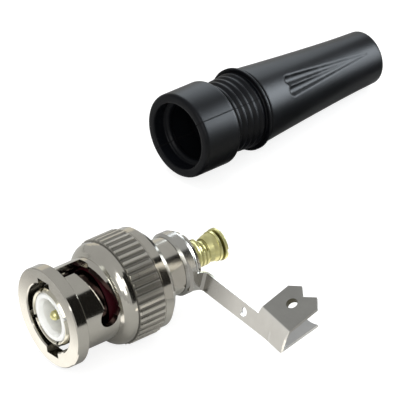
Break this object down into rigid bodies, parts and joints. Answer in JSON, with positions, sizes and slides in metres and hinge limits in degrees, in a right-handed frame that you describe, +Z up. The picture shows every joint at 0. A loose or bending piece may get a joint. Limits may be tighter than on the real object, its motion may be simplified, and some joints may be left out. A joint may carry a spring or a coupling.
{
  "type": "bnc connector",
  "caption": "Bayonet coaxial cable plug with a knurled coupling nut, screw terminal and folded cable clamp, with its tapered strain-relief boot lying beside it",
  "frame": {"origin": "On the plug's axis, in the plane of its mating face.", "axes": "+Z is up. The plug's axis lies along Y: the mating face looks to -Y and the cable end to +Y. +X is the side that the cable clamp's arm points to; the boot lies on the -X side."},
  "size_m": [0.0556, 0.0768, 0.015],
  "materials": {
    "nickel": "bright nickel plate on turned metal",
    "contact_plate": "bright plate on sprung fingers",
    "insulator": "milky white moulding with a soft sheen",
    "brass": "turned pale brass",
    "gasket_rubber": "dark red soft rubber",
    "spring_steel": "plain spring strip",
    "clamp_strip": "plated sheet, satin with bright cut edges",
    "boot_rubber": "black satin moulding"
  },
  "bodies": {
    "core": {"plug_body": "nickel", "contact_sleeve": "contact_plate", "front_insulator": "insulator", "rear_insulator": "insulator", "centre_contact": "brass", "gasket": "gasket_rubber", "wave_washer": "spring_steel", "cable_clamp": "clamp_strip", "boot": "boot_rubber"},
    "nut_carrier": {"thrust_washer": "nickel"},
    "nut": {"coupling_nut": "nickel"},
    "clamp_disc": {"clamp_washer": "brass"},
    "screw": {"terminal_screw": "brass"}
  },
  "joints": [
    {"name": "nut_push", "type": "slide", "parent": "core", "child": "nut_carrier", "axis": [0, -1, 0], "range_m": [0, 0.0008], "stiffness_N_per_m": 4000, "springref_m": -0.0004, "deforming": ["wave_washer"]},
    {"name": "nut_spin", "type": "hinge", "parent": "nut_carrier", "child": "nut", "pos_m": [0, 0.014, 0], "axis": [0, 1, 0], "continuous": true},
    {"name": "screw_travel", "type": "slide", "parent": "core", "child": "clamp_disc", "axis": [0, 1, 0], "range_m": [0, 0.0015]},
    {"name": "screw_turn", "type": "hinge", "parent": "clamp_disc", "child": "screw", "pos_m": [0, 0.0277, 0], "axis": [0, 1, 0], "range_deg": [0, 1080.5]}
  ],
  "couplings": [
    {"joint": "screw_turn", "follows": "screw_travel", "rad_per_m": 12566}
  ]
}
